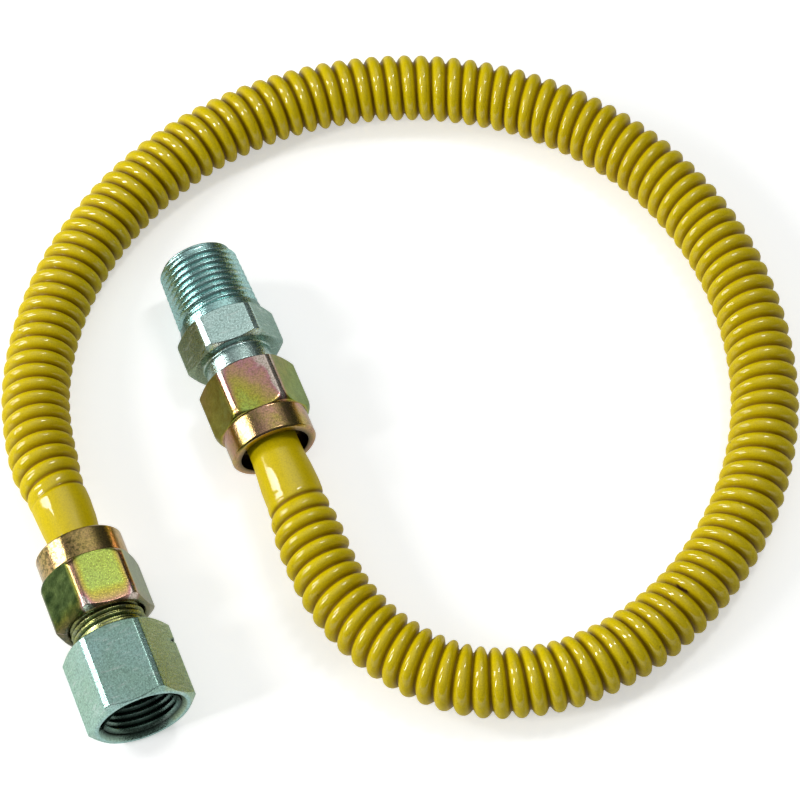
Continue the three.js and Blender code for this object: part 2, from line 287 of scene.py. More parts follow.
def skin_radius(along, height):
    """The hose's radius, and its ridge mark: 0 in the groove, 1 on the crest.

    The groove starts at once, and the ridge grows over three turns."""
    from_end = np.minimum(along, hose_length - along)
    swollen = ease((from_end - cuff_from) / (ridge_start - pitch / 2 - cuff_from))
    plain = CUFF_RADIUS + swollen * (SWELL_RADIUS - CUFF_RADIUS)
    sunk = ease((from_end - ridge_start) / GROOVE_RUN_IN)
    valley = plain + sunk * (VALLEY_RADIUS - plain)
    crest = plain + ease((from_end - ridge_start) / RIDGE_RUN_IN) * (FINE_CREST_RADIUS - plain)
    return valley + height * (crest - valley), CUFF_MARK + sunk * (height - CUFF_MARK)


# %% A spiral tube
def spiral_tube(rows, rings, wall):
    """Corners, ridge marks and faces of one skin of the hose, and its two end rings.

    rows are the helix's rows, rings the smooth rings before it, as (along, radius)."""
    corners, marks, faces = [], [], []

    def add(along, radius, angle, mark):
        start = len(marks)
        corners.append(bend_onto_line(along, radius - wall, angle))
        marks.extend(np.broadcast_to(mark, along.shape))
        return list(range(start, start + len(along)))

    def ring(along, radius):
        angle = np.arange(HOSE_SIDES) / HOSE_SIDES * TAU
        ids = add(np.full(HOSE_SIDES, along), np.full(HOSE_SIDES, radius), angle, CUFF_MARK)
        return [*ids, ids[0]]

    helix = []
    for number, (shift, height) in enumerate(rows):
        step = np.arange((turns + (number == 0)) * HOSE_SIDES + 1)
        along = helix_start + pitch * (step / HOSE_SIDES + shift)
        radius, mark = skin_radius(along, height)
        helix.append(add(along, radius, step / HOSE_SIDES * TAU, mark))

    first = [ring(along, radius) for along, radius in rings]
    last = [ring(hose_length - along, radius) for along, radius in rings]
    for smooth_rings, flipped in ((first, False), (last, True)):
        for before, after in zip(smooth_rings, smooth_rings[1:]):
            faces += strip(before, after, flipped)

    end = turns * HOSE_SIDES
    following = [*helix[1:], helix[0][HOSE_SIDES:]]
    for low, high in zip(helix, following):
        faces += strip(low[:end + 1], high[:end + 1])

    # Where the groove starts and ends, a fan closes the step of one pitch
    near, far = first[-1], last[-1]
    faces += strip(near[:HOSE_SIDES], helix[0][:HOSE_SIDES])
    fan = [near[-1], *(row[0] for row in helix), helix[0][HOSE_SIDES],
           helix[0][HOSE_SIDES - 1]]
    faces += [(near[-2], a, b) for a, b in zip(fan, fan[1:])]
    faces += strip(helix[0][end + 1:], far[1:])
    fan = [far[0], helix[0][end + HOSE_SIDES], *(row[end] for row in reversed(helix)),
           helix[0][end + 1]]
    faces += [(far[1], a, b) for a, b in zip(fan, fan[1:])]
    return np.concatenate(corners), marks, faces, first[0], last[0]


# %% The smooth rings of the cuff
def cuff_rings(count=9):
    """The flare, the straight part inside the nut, and the swell before the ridge."""
    stations = np.linspace(cuff_from, helix_start - pitch / 2, count)
    radii = skin_radius(stations, 0.0)[0]
    return [(FLARE_LIP, FLARE_RADIUS), FLARE_NECK, (FLARE_LENGTH, CUFF_RADIUS),
            *zip(stations, radii)]


# %% The hose's mesh, from its two skins
def hose_mesh():
    rings = cuff_rings()
    corners, marks, faces, start, end = spiral_tube(ridge_rows(RIDGE_ROWS), rings, 0.0)
    inner_rings = [(0.0, rings[0][1]), *rings[1:]]
    foot = GROOVE_SHARE / 2
    inner_rows = [(0.0, 0.0), (foot, 0.0), (0.5, 1.0), (1 - foot, 0.0)]
    inner = spiral_tube(inner_rows, inner_rings, WALL)
    shift = len(corners)
    faces += [tuple(shift + k for k in reversed(face)) for face in inner[2]]
    start_in, end_in = ([shift + k for k in ring] for ring in inner[3:])
    faces += strip(start, start_in, flipped=True) + strip(end, end_in)
    return make_piece("hose", np.concatenate([corners, inner[0]]), faces,
                      {"ridge": [*marks, *inner[1]]})


hose = hose_mesh()

# %% [markdown]
# ## Hexagons, cones and bores
# A nut or an adapter is turned from hexagon bar, so every section through its axis is
# the same closed outline, except that the bar's own radius changes from flat to
# corner. The mesh is that outline repeated round the axis. Where a chamfer's cone
# meets a flat, the outline's corner moves with the bar's radius, and that draws the
# rounded arcs of a real nut. Each edge is broken a little, because no real edge is
# sharp, and it is the broken edges that catch the light.

# %% Round the bar
def hexagon_outline(across_flats, corner_width, edge=0.22 * MM, flat_steps=14):
    """Angles and radii round a hexagon bar with planed corners and softened edges."""
    corner = across_flats / math.sqrt(3) - corner_width / 2 / math.tan(math.pi / 3)
    vertices = []
    for side in range(6):
        middle = side * math.pi / 3
        along = np.array([math.cos(middle), math.sin(middle)])
        across = np.array([-along[1], along[0]])
        vertices += [along * corner + across * half * corner_width for half in (-0.5, 0.5)]
    points = []
    for index, vertex in enumerate(vertices):
        before, after = vertices[index - 1], vertices[(index + 1) % len(vertices)]
        back = (before - vertex) / np.linalg.norm(before - vertex) * edge
        on = (after - vertex) / np.linalg.norm(after - vertex) * edge
        for share in (0, 0.33, 0.67, 1):
            points.append(vertex + back * (1 - share) ** 2 + on * share ** 2)
        steps = flat_steps if index % 2 else 2
        start, stop = vertex + on, after - on
        points += [start + (stop - start) * k / steps for k in range(1, steps)]
    points = np.array(points)
    return np.arctan2(points[:, 1], points[:, 0]), np.hypot(points[:, 0], points[:, 1])


# %% Break the edges of a closed outline
def break_edges(outline, width=0.16 * MM, steps=3):
    """Rounds each corner of closed outlines, given as (corner, column, radius and out)."""
    back = np.roll(outline, 1, axis=0) - outline
    on = np.roll(outline, -1, axis=0) - outline
    room = np.minimum(np.linalg.norm(back, axis=-1), np.linalg.norm(on, axis=-1)) * 0.4
    cut = np.minimum(room, width)[..., None]
    back *= cut / np.maximum(np.linalg.norm(back, axis=-1), 1e-9)[..., None]
    on *= cut / np.maximum(np.linalg.norm(on, axis=-1), 1e-9)[..., None]
    rows = []
    for index in range(len(outline)):
        for share in np.linspace(0, 1, steps + 1):
            rows.append(outline[index] + back[index] * (1 - share) ** 2
                        + on[index] * share ** 2)
    return np.array(rows)


# %% Turn an outline round its axis
def turned_piece(name, end, turn, angles, outline, bore, bore_from=-1.0):
    """A closed mesh: the outline, with its own radii at each angle, round the axis.

    Corners within the radius bore, and further out than bore_from, are marked as deep."""
    rows = break_edges(outline)
    radius, out = rows[..., 0], rows[..., 1]
    angle = np.broadcast_to(angles + turn, radius.shape)
    corners = end.place(radius * np.cos(angle), radius * np.sin(angle), out)
    columns = len(angles)
    ids = np.arange(rows.shape[0] * columns).reshape(rows.shape[0], columns)
    faces = []
    for number in range(len(ids)):
        faces += band(ids[number].tolist(), ids[(number + 1) % len(ids)].tolist())
    marks = {"out": out.ravel() / MM,
             "round": np.broadcast_to(np.degrees(angles), radius.shape).ravel(),
             "deep": ((radius < bore) & (out > bore_from)).ravel().astype(float)}
    piece = make_piece(name, corners.reshape(-1, 3), faces, marks)
    weighted = piece.modifiers.new("even_flats", "WEIGHTED_NORMAL")
    weighted.keep_sharp = True
    return piece


def outline_of(columns, corners):
    """Stacks outline corners, each a radius and an out that may change round the bar."""
    return np.array([[np.broadcast_to(radius, columns), np.broadcast_to(out, columns)]
                     for radius, out in corners]).transpose(0, 2, 1)


# %% [markdown]
# ## Threads
# A thread is a ridge with slanting flanks wound round a cylinder or a slim cone. It is
# made as its own closed strip, with its foot just under the plain surface, and both
# its ends fade out as the cutter's run-out does. The same helper cuts the flare
# threads, the taper pipe thread and, with the ridge pointing inward, the socket's
# thread. Its corners are marked as facing up, so the side flats' tints, which are
# painted reflection and shade, pass it by.

# %% A wound ridge
THREAD_SIDES = 72
THREAD_SECTION = ((-0.48, None), (-0.11, 0.95), (0.0, 1.0), (0.11, 0.95), (0.48, None))
THREAD_DEPTHS = (1.0, 0.45, 0.0, 0.45, 1.0)
THREAD_RUN_OUT = 0.4
THREAD_LEAST = 0.02
THREAD_SINK = 0.06 * MM
FACING_UP = 90.0


def straight(radius):
    """The root of a thread on a cylinder."""
    return lambda out: np.full_like(out, radius)


def thread_ridge(end, turn, start, turns_wound, lead, root, height):
    """Corners and faces of a right-handed ridge. root is its foot's radius at an out.

    The section's points are shares of the lead and of the height; a foot has no height."""
    count = round(turns_wound * THREAD_SIDES) + 1
    angle = np.arange(count) / THREAD_SIDES * TAU
    out = start + lead * angle / TAU
    fade = np.minimum(ease(angle / TAU / THREAD_RUN_OUT),
                      ease((angle[-1] - angle) / TAU / THREAD_RUN_OUT))
    grown = height * fade + height * THREAD_LEAST
    sink = -math.copysign(THREAD_SINK, height)
    rows = []
    for across, rise in THREAD_SECTION:
        at = out + across * lead
        radius = root(at) + (sink if rise is None else grown * rise)
        rows.append(end.place(radius * np.cos(angle + turn), radius * np.sin(angle + turn), at))
    corners = np.array(rows).transpose(1, 0, 2)
    width = len(THREAD_SECTION)
    ids = np.arange(count * width).reshape(count, width)
    faces = []
    for number in range(count - 1):
        faces += band(ids[number].tolist(), ids[number + 1].tolist())
    faces += [ids[0, ::-1].tolist(), ids[-1].tolist()]
    if height < 0:
        faces = [list(reversed(face)) for face in faces]
    return corners.reshape(-1, 3), faces, out, width


def add_thread(name, end, *args, **values):
    corners, faces, out, width = thread_ridge(end, *args, **values)
    marks = {"out": np.repeat(out, width) / MM, "deep": np.tile(THREAD_DEPTHS, len(out)),
             "round": np.full(len(corners), FACING_UP)}
    return make_piece(name, corners, faces, marks, sharp_angle=50)


# %% [markdown]
# ## The flare nuts
# Both nuts are the same part: a hexagon with a round collar towards the hose. The
# shoulder between them is rounded, which leaves each flat with rounded corners, as on
# the real nut. The collar has a wide opening round the hose's cuff.

# %% Sizes of the nut
FLARE_THREAD_RADIUS = 9.45 * MM
CLEARANCE = 0.3 * MM
NUT_FLATS = 22.8 * MM
NUT_CORNER = 1.3 * MM
NUT_EDGE = 0.32 * MM
NUT_HEX = 14.6 * MM
COLLAR_RADIUS = 11.2 * MM
COLLAR_OPENING = 9.0 * MM
OPENING_DEPTH = 5 * MM
COLLAR_START = 0.3 * MM
SHOULDER_RUN = 2.6 * MM
SHOULDER_STEPS = 8
SHOULDER_RISE = 0.02
CHAMFER = math.tan(math.radians(30))
FACE_SHARE = 0.97
EDGE = 0.5 * MM
DEEP_MARGIN = 0.1 * MM
NUT_BORE = FLARE_THREAD_RADIUS + CLEARANCE
TUBE_HOLE = CUFF_RADIUS + CLEARANCE
SEAT_FOOT = -13.1 * MM
SEAT_TOP = SEAT_FOOT + NUT_BORE - TUBE_HOLE


def flare_nut(name, end, turn):
    angles, bar = hexagon_outline(NUT_FLATS, NUT_CORNER, NUT_EDGE)
    face = NUT_FLATS / 2 * FACE_SHARE
    rounded = []
    for step in np.linspace(0, math.pi / 2, SHOULDER_STEPS):
        limit = COLLAR_RADIUS + (bar.max() - COLLAR_RADIUS) * math.sin(step + SHOULDER_RISE)
        rounded.append((np.minimum(bar, limit), -NUT_HEX + SHOULDER_RUN * (1 - math.cos(step))))
    outline = outline_of(len(angles), [
        (NUT_BORE + EDGE, 0), (face, 0), (bar, -(bar - face) * CHAMFER), *rounded[::-1],
        (COLLAR_RADIUS, -NUT_HEX - COLLAR_START),
        (COLLAR_RADIUS, -NUT_LENGTH + EDGE), (COLLAR_RADIUS - EDGE, -NUT_LENGTH),
        (COLLAR_OPENING, -NUT_LENGTH), (COLLAR_OPENING, -NUT_LENGTH + OPENING_DEPTH),
        (TUBE_HOLE, -NUT_LENGTH + OPENING_DEPTH), (TUBE_HOLE, SEAT_FOOT),
        (NUT_BORE, SEAT_TOP), (NUT_BORE, -EDGE),
    ])
    return turned_piece(name, end, turn, angles, outline, NUT_BORE + DEEP_MARGIN)


NUT_TURNS = {"female": math.radians(-11.3), "male": math.radians(-3.3)}
female_nut = flare_nut("flare_nut_female_end", female_end, NUT_TURNS["female"])
male_nut = flare_nut("flare_nut_male_end", male_end, NUT_TURNS["male"])

# %% The nuts' inner threads
FLARE_LEAD = 1.5875 * MM
NUT_THREAD_START = SEAT_TOP + 1.2 * MM
NUT_THREAD_TURNS = 5.0
NUT_THREAD_HEIGHT = 0.2 * MM


def nut_thread(name, end, turn):
    return add_thread(name, end, turn, NUT_THREAD_START, NUT_THREAD_TURNS, FLARE_LEAD,
                      straight(NUT_BORE), -NUT_THREAD_HEIGHT)


female_nut_thread = nut_thread("nut_thread_female_end", female_end, NUT_TURNS["female"])
male_nut_thread = nut_thread("nut_thread_male_end", male_end, NUT_TURNS["male"])

# %% [markdown]
# ## The adapters
# Each adapter ends in a coned nose with the flare thread behind it, then a short neck
# and the hexagon. The female one is bored and tapped for a half-inch pipe, with a
# countersunk mouth. The male one carries the taper pipe thread on a short shank.

# %% Sizes that both adapters share
PASSAGE = 5.2 * MM
NECK = 8.9 * MM
NECK_EDGE = 0.35 * MM
NECK_FILLET = 0.3 * MM
FLARE_ROOT = 8.55 * MM
FLARE_HEIGHT = FLARE_THREAD_RADIUS - 0.02 * MM - FLARE_ROOT
FLARE_MARGIN = FLARE_LEAD * 0.3
NOSE_ROOT = -8.2 * MM
NOSE_TIP = NOSE_ROOT - (FLARE_THREAD_RADIUS - PASSAGE) + EDGE
CORNER_BREAK = 1.6 * MM
DRILL_SLOPE = 1 / math.tan(math.radians(60))


def flare_nose(thread_end, hexagon_start):
    """The outline from the passage's inner end, over the nose, to the hexagon's back."""
    return [(PASSAGE, NOSE_TIP + EDGE), (PASSAGE + EDGE, NOSE_TIP),
            (FLARE_ROOT, NOSE_ROOT - (FLARE_THREAD_RADIUS - FLARE_ROOT)),
            (FLARE_ROOT, thread_end), (NECK, thread_end + NECK_EDGE),
            (NECK, hexagon_start - NECK_EDGE), (NECK + NECK_FILLET, hexagon_start)]


def flare_thread(name, end, turn, thread_end):
    start = NOSE_ROOT + FLARE_MARGIN
    wound = (thread_end - FLARE_MARGIN - start) / FLARE_LEAD
    return add_thread(name, end, turn, start, wound, FLARE_LEAD, straight(FLARE_ROOT),
                      FLARE_HEIGHT)


# %% The female adapter
FEMALE_FLATS = 24.8 * MM
FEMALE_START = 5.7 * MM
FEMALE_MOUTH = FEMALE_START + 21.2 * MM
SOCKET = 10 * MM
SOCKET_MOUTH = 11.4 * MM
SOCKET_MOUTH_DEPTH = 1.3 * MM
SOCKET_DEPTH = 14.5 * MM
SOCKET_MARGIN = 0.3 * MM
FEMALE_TURN = math.radians(5.3)
FEMALE_THREAD_END = 4.35 * MM
NICK_OUT = 11.2 * MM
NICK_LENGTH = 0.7 * MM
NICK_DEPTH = 0.9 * MM
NICK_ANGLE = 3.0
NICK_SPREAD = 9.0


def nicked(angles, bar, from_middle):
    """The bar's radius with the small nick that the real part has in one corner."""
    near = np.clip(1 - np.abs(np.degrees(angles) - NICK_ANGLE) / NICK_SPREAD, 0, 1)
    return bar - NICK_DEPTH * near * max(1 - abs(from_middle) / NICK_LENGTH, 0)


def female_adapter_mesh():
    angles, bar = hexagon_outline(FEMALE_FLATS, CORNER_BREAK)
    nick = [(nicked(angles, bar, step), NICK_OUT + step)
            for step in np.linspace(-NICK_LENGTH, NICK_LENGTH, 5)]
    face = FEMALE_FLATS / 2 * FACE_SHARE
    floor = FEMALE_MOUTH - SOCKET_DEPTH
    outline = outline_of(len(angles), [
        *flare_nose(FEMALE_THREAD_END, FEMALE_START),
        (face, FEMALE_START), (bar, FEMALE_START + (bar - face) * CHAMFER), *nick,
        (bar, FEMALE_MOUTH - (bar - face) * CHAMFER), (face, FEMALE_MOUTH),
        (SOCKET_MOUTH, FEMALE_MOUTH), (SOCKET, FEMALE_MOUTH - SOCKET_MOUTH_DEPTH),
        (SOCKET, floor), (PASSAGE, floor - (SOCKET - PASSAGE) * DRILL_SLOPE),
    ])
    return turned_piece("pipe_adapter_female", female_end, FEMALE_TURN, angles, outline,
                        SOCKET + SOCKET_MARGIN, FEMALE_START + EDGE)


female_adapter = female_adapter_mesh()
female_flare_thread = flare_thread("flare_thread_female", female_end, FEMALE_TURN,
                                   FEMALE_THREAD_END)

# %% Its socket thread
PIPE_LEAD = 1.814 * MM
PIPE_TAPER = 1 / 32
SOCKET_TAPER = PIPE_TAPER * 0.2
SOCKET_THREAD_START = FEMALE_MOUTH - 12.6 * MM
SOCKET_THREAD_TURNS = 6.5
SOCKET_THREAD_HEIGHT = 1.0 * MM


def socket_root(out):
    return SOCKET - np.maximum(FEMALE_MOUTH - out - SOCKET_MOUTH_DEPTH, 0) * SOCKET_TAPER


socket_thread = add_thread("socket_thread", female_end, FEMALE_TURN, SOCKET_THREAD_START,
                           SOCKET_THREAD_TURNS, PIPE_LEAD, socket_root,
                           -SOCKET_THREAD_HEIGHT)

# %% The male adapter
MALE_FLATS = 23.2 * MM
MALE_START = 6 * MM
MALE_HEX_END = MALE_START + 10.1 * MM
SHANK_RADIUS = 11 * MM
SHANK_END = MALE_HEX_END + 2.2 * MM
PIPE_TIP = SHANK_END + 18.8 * MM
PIPE_TIP_RADIUS = 10.35 * MM
TIP_CHAMFER = 1 * MM
TIP_BORE = 6.5 * MM
PIPE_THREAD_HEIGHT = 1.1 * MM
PIPE_THREAD_MARGIN = 0.9 * MM
PIPE_THREAD_SINK = 0.02 * MM
PIPE_RUN_IN = 1.4 * MM
MALE_TURN = math.radians(-1.8)
MALE_THREAD_END = 1 * MM


def pipe_crest(out):
    """The taper thread's crest radius at an out."""
    return PIPE_TIP_RADIUS + (PIPE_TIP - TIP_CHAMFER - out) * PIPE_TAPER


def male_adapter_mesh():
    angles, bar = hexagon_outline(MALE_FLATS, CORNER_BREAK)
    face = MALE_FLATS / 2 * FACE_SHARE
    root_at = SHANK_END + PIPE_RUN_IN
    tip_root = PIPE_TIP_RADIUS - PIPE_THREAD_HEIGHT
    outline = outline_of(len(angles), [
        *flare_nose(MALE_THREAD_END, MALE_START),
        (face, MALE_START), (bar, MALE_START + (bar - face) * CHAMFER),
        (bar, MALE_HEX_END - (bar - face) * CHAMFER), (face, MALE_HEX_END),
        (SHANK_RADIUS + 0.05 * MM, MALE_HEX_END), (SHANK_RADIUS, SHANK_END),
        (pipe_crest(root_at) - PIPE_THREAD_HEIGHT, root_at),
        (tip_root + 0.1 * MM, PIPE_TIP - 0.25 * MM), (tip_root - 0.15 * MM, PIPE_TIP),
        (TIP_BORE, PIPE_TIP), (TIP_BORE, MALE_HEX_END + (TIP_BORE - PASSAGE) * DRILL_SLOPE),
        (PASSAGE, MALE_HEX_END),
    ])
    return turned_piece("pipe_adapter_male", male_end, MALE_TURN, angles, outline,
                        TIP_BORE - DEEP_MARGIN)


male_adapter = male_adapter_mesh()
male_flare_thread = flare_thread("flare_thread_male", male_end, MALE_TURN, MALE_THREAD_END)

# %% Its pipe thread
pipe_start = SHANK_END + PIPE_THREAD_MARGIN
pipe_turns = (PIPE_TIP - PIPE_THREAD_MARGIN - pipe_start) / PIPE_LEAD


def pipe_root(out):
    return pipe_crest(out) - PIPE_THREAD_HEIGHT - PIPE_THREAD_SINK


pipe_thread = add_thread("pipe_thread", male_end, MALE_TURN, pipe_start, pipe_turns, PIPE_LEAD,
                         pipe_root, PIPE_THREAD_HEIGHT)

# %% [markdown]
# ## Which piece rides on which body
# The hose is the root body. Each nut turns on its axis, and each adapter slides out of
# its nut as the nut turns. Every fine piece rides on the body of the solid that it
# stands for, and threads go with the metal that they are cut in.

# %% Ride and replace
RIDES = (
    (hose, "hose", "yellow_coating", "corrugated_hose"),
    (female_nut, "female_nut", "yellow_zinc", "female_end_nut"),
    (female_nut_thread, "female_nut", "yellow_zinc", None),
    (male_nut, "male_nut", "yellow_zinc", "male_end_nut"),
    (male_nut_thread, "male_nut", "yellow_zinc", None),
    (female_adapter, "female_adapter", "clear_zinc", "female_pipe_adapter"),
    (female_flare_thread, "female_adapter", "clear_zinc", None),
    (socket_thread, "female_adapter", "clear_zinc", None),
    (male_adapter, "male_adapter", "clear_zinc", "male_pipe_adapter"),
    (male_flare_thread, "male_adapter", "clear_zinc", None),
    (pipe_thread, "male_adapter", "clear_zinc", None),
)
for piece, body, slot, node in RIDES:
    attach(piece, body)
    if node:
        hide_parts(node)

collar_mouth = female_end.place(0, 0, -NUT_LENGTH)
print("the hose leaves the collar at", collar_mouth.round(4).tolist())

# %% [markdown]
# ## Effects that the finishes share
# Three effects turn up in more than one finish: a fine grain that breaks up the
# surface, soft clouds that vary a colour over centimetres, and small dark specks of
# dirt. Each is a node group with its own inputs, so that every finish sets its own
# scale. The helpers come first: a tree whose nodes are added and fed in one line, and
# an effect, which is such a tree with named inputs and outputs.

# %% Colours and nodes
def linear(red, green, blue):
    """A colour as a picture shows it, 0 to 255, as the shader counts it."""
    def one(value):
        share = value / 255
        return share / 12.92 if share <= 0.04045 else ((share + 0.055) / 1.055) ** 2.4
    return (one(red), one(green), one(blue), 1.0)


class Nodes:
    """A tree of nodes. Each input is a value, or the socket that feeds it."""

    def __init__(self, tree):
        self.tree = tree

    def plug(self, value, socket):
        if isinstance(value, bpy.types.NodeSocket):
            self.tree.links.new(value, socket)
        else:
            socket.default_value = value

    def add(self, kind, inputs=None, **settings):
        """Adds a node, and gives back its outputs."""
        made = self.tree.nodes.new(kind)
        for name, value in settings.items():
            setattr(made, name, value)
        for key, value in (inputs or {}).items():
            self.plug(value, made.inputs[key])
        return made.outputs

    def math(self, operation, *values, **settings):
        return self.add("ShaderNodeMath", dict(enumerate(values)), operation=operation,
                        **settings)[0]

    def vector(self, operation, *values):
        return self.add("ShaderNodeVectorMath", dict(enumerate(values)), operation=operation)

    def span(self, value, low, high, to_low=0.0, to_high=1.0, **settings):
        """Stretches a value's run from low to high to other limits, and stops it there."""
        return self.add("ShaderNodeMapRange",
                        {"Value": value, "From Min": low, "From Max": high,
                         "To Min": to_low, "To Max": to_high}, **settings)["Result"]

    def mix(self, factor, first, second):
        return self.add("ShaderNodeMix", {0: factor, 6: first, 7: second},
                        data_type="RGBA")[2]

    def noise(self, place, scale, detail, roughness=0.5):
        return self.add("ShaderNodeTexNoise", {"Vector": place, "Scale": scale,
                                               "Detail": detail, "Roughness": roughness})["Fac"]

    def ramp(self, factor, stops):
        """A colour for each factor, blended between (position, colour) stops."""
        made = self.tree.nodes.new("ShaderNodeValToRGB")
        self.plug(factor, made.inputs["Fac"])
        elements = made.color_ramp.elements
        while len(elements) < len(stops):
            elements.new(0.5)
        for element, (position, colour) in zip(elements, stops):
            element.position = position
            element.color = colour
        return made.outputs["Color"]


class Effect(Nodes):
    """A node group with a Vector and numbers as its inputs, given with plain values."""

    def __init__(self, name, **numbers):
        super().__init__(bpy.data.node_groups.new(name, "ShaderNodeTree"))
        self.new_socket("Vector", "INPUT", "NodeSocketVector")
        for number, value in numbers.items():
            self.new_socket(number, "INPUT", "NodeSocketFloat").default_value = value
        self.given = self.tree.nodes.new("NodeGroupInput").outputs

    def new_socket(self, name, way, kind):
        return self.tree.interface.new_socket(name, in_out=way, socket_type=kind)

    def give(self, kind="NodeSocketFloat", **results):
        """Makes and feeds the group's outputs, which ends it."""
        for name in results:
            self.new_socket(name, "OUTPUT", kind)
        outputs = self.tree.nodes.new("NodeGroupOutput").inputs
        for name, value in results.items():
            self.plug(value, outputs[name])
        return self.tree


# %% Grain
def build_grain():
    grain = Effect("grain", Scale=900.0, Roughen=0.6)
    place, scale = grain.given["Vector"], grain.given["Scale"]
    fine = grain.noise(place, scale, 3.0, grain.given["Roughen"])
    cells = grain.add("ShaderNodeTexVoronoi", {"Vector": place, "Scale": scale})["Distance"]
    flecks = grain.span(grain.math("MULTIPLY", fine, cells), 0.1, 0.45)
    return grain.give(Height=fine, Flecks=flecks)


grain_group = build_grain()


# %% Clouds
def build_clouds():
    clouds = Effect("clouds", Scale=60.0, Contrast=2.0)
    soft = clouds.noise(clouds.given["Vector"], clouds.given["Scale"], 2.0)
    centred = clouds.math("SUBTRACT", soft, 0.5)
    spread = clouds.math("MULTIPLY_ADD", centred, clouds.given["Contrast"], 0.5,
                         use_clamp=True)
    return clouds.give(Amount=spread)


clouds_group = build_clouds()


# %% Specks
def build_specks():
    specks = Effect("specks", Scale=300.0, Size=0.1, Share=0.2)
    cells = specks.add("ShaderNodeTexVoronoi", {"Vector": specks.given["Vector"],
                                                "Scale": specks.given["Scale"]})
    chance = specks.add("ShaderNodeSeparateColor", {"Color": cells["Color"]})["Red"]
    few = specks.math("LESS_THAN", chance, specks.given["Share"])
    near = specks.span(cells["Distance"], 0.0, specks.given["Size"], 1.0, 0.0)
    return specks.give(Mask=specks.math("MULTIPLY", few, near))


specks_group = build_specks()
print("groups:", [group.name for group in bpy.data.node_groups])


# %% A material and its parts
class Finish(Nodes):
    """A material under construction, with short ways to add effects, marks and masks."""

    def __init__(self, name, **plain):
        self.material = bpy.data.materials.new(name)
        self.material.use_nodes = True
        super().__init__(self.material.node_tree)
        self.shader = self.tree.nodes["Principled BSDF"]
        for socket, value in plain.items():
            self.shader.inputs[socket.replace("_", " ")].default_value = value
        self.place = self.add("ShaderNodeTexCoord")["Object"]

    def group(self, group, **values):
        return self.add("ShaderNodeGroup", {"Vector": self.place, **values}, node_tree=group)

    def mark(self, name):
        return self.add("ShaderNodeAttribute", attribute_name=name)["Fac"]

    def ragged(self, scale, reach, distance):
        """A distance that the grain makes uneven, by up to its reach."""
        return self.math("MULTIPLY_ADD", self.group(grain_group, Scale=scale)["Height"],
                         reach, distance)

    def spot(self, centre, radius):
        """A ragged round mask about one place on the part."""
        away = self.vector("DISTANCE", self.place, centre)["Value"]
        return self.span(self.ragged(700.0, radius, away), radius * 1.4, radius * 0.95)

    def streak(self, centre, direction, length, width):
        """A ragged narrow mask along a line on the part."""
        away = self.vector("SUBTRACT", self.place, centre)["Vector"]
        along = self.vector("DOT_PRODUCT", away, direction)["Value"]
        turned = self.vector("CROSS_PRODUCT", away, direction)["Vector"]
        edge = self.ragged(1500.0, width, self.vector("LENGTH", turned)["Value"])
        near = self.span(self.math("ABSOLUTE", along), length * 0.5, length * 0.3)
        return self.math("MULTIPLY", near, self.span(edge, width * 1.3, width * 0.8))

    def feed(self, socket, value):
        self.tree.links.new(value, self.shader.inputs[socket])

    def bump(self, height, distance):
        self.feed("Normal", self.add("ShaderNodeBump", {"Height": height, "Strength": 1.0,
                                                        "Distance": distance})["Normal"])

    def dress(self, *pieces):
        for piece in pieces:
            piece.data.materials.clear()
            piece.data.materials.append(self.material)
        print(self.material.name, "on", [piece.name for piece in pieces])


# %% [markdown]
# ## The yellow coating
# The coating is a plastic skin, a little thicker and browner where it fills the groove, and the
# groove is also darkened there as painted shade.
# The ridge mark on the mesh tells the shader how deep a corner lies. Soft clouds and
# fine flecks keep the yellow from being one flat colour, and a few dark specks lie on
# it. Its gloss is a clear coat that fades in the groove and towards the outline, over a
# fine orange-peel bump. One dark scuff lies in a groove, where the real hose has it.

# %% Yellow coating
SCUFF_AT = Vector((44.3, -82.3, 15.8)) * MM
SCUFF_TOWARDS = Vector((0.51, -0.86, 0.09)).normalized()
SCUFF_LENGTH = 4.6 * MM
SCUFF_WIDTH = 0.75 * MM
PEEL_DEPTH = 0.04 * MM


def yellow_coating():
    coat = Finish("yellow_coating", Specular_IOR_Level=0.12, Coat_Roughness=0.07,
                  Coat_IOR=1.6)
    clouds = coat.group(clouds_group, Scale=38.0, Contrast=2.2)["Amount"]
    yellow = coat.mix(clouds, linear(218, 192, 0), linear(230, 206, 2))
    fine = coat.group(grain_group, Scale=2400.0, Roughen=0.7)["Flecks"]
    grained = coat.mix(coat.math("MULTIPLY", fine, 0.32), yellow, linear(170, 142, 0))
    depth = coat.span(coat.mark("ridge"), 0.66, 0.06)
    # Painted shade: the groove is darkened brown, partly for the thicker coating there and
    # partly as shade in the hollow.
    groove = coat.mix(depth, grained, linear(136, 106, 0))
    specks = coat.group(specks_group, Scale=330.0, Size=0.15, Share=0.09)["Mask"]
    specks_and_groove_shade = coat.mix(coat.math("MULTIPLY", specks, 0.75), groove, linear(84, 62, 10))
    scuff = coat.streak(SCUFF_AT, SCUFF_TOWARDS, SCUFF_LENGTH, SCUFF_WIDTH)
    coat.feed("Base Color", coat.mix(scuff, specks_and_groove_shade, linear(60, 30, 4)))
    peel = coat.group(grain_group, Scale=420.0, Roughen=0.5)["Height"]
    coat.feed("Roughness", coat.span(peel, 0.2, 0.8, 0.3, 0.5))
    grazing = coat.math("POWER", coat.add("ShaderNodeLayerWeight")["Facing"], 2.2)
    coat.feed("Coat Weight", coat.math("MULTIPLY", coat.span(depth, 1.0, 0.0),
                                       coat.span(grazing, 0.02, 0.1, 1.0, 0.02)))
    coat.bump(peel, PEEL_DEPTH)
    return coat


yellow_coating().dress(hose)
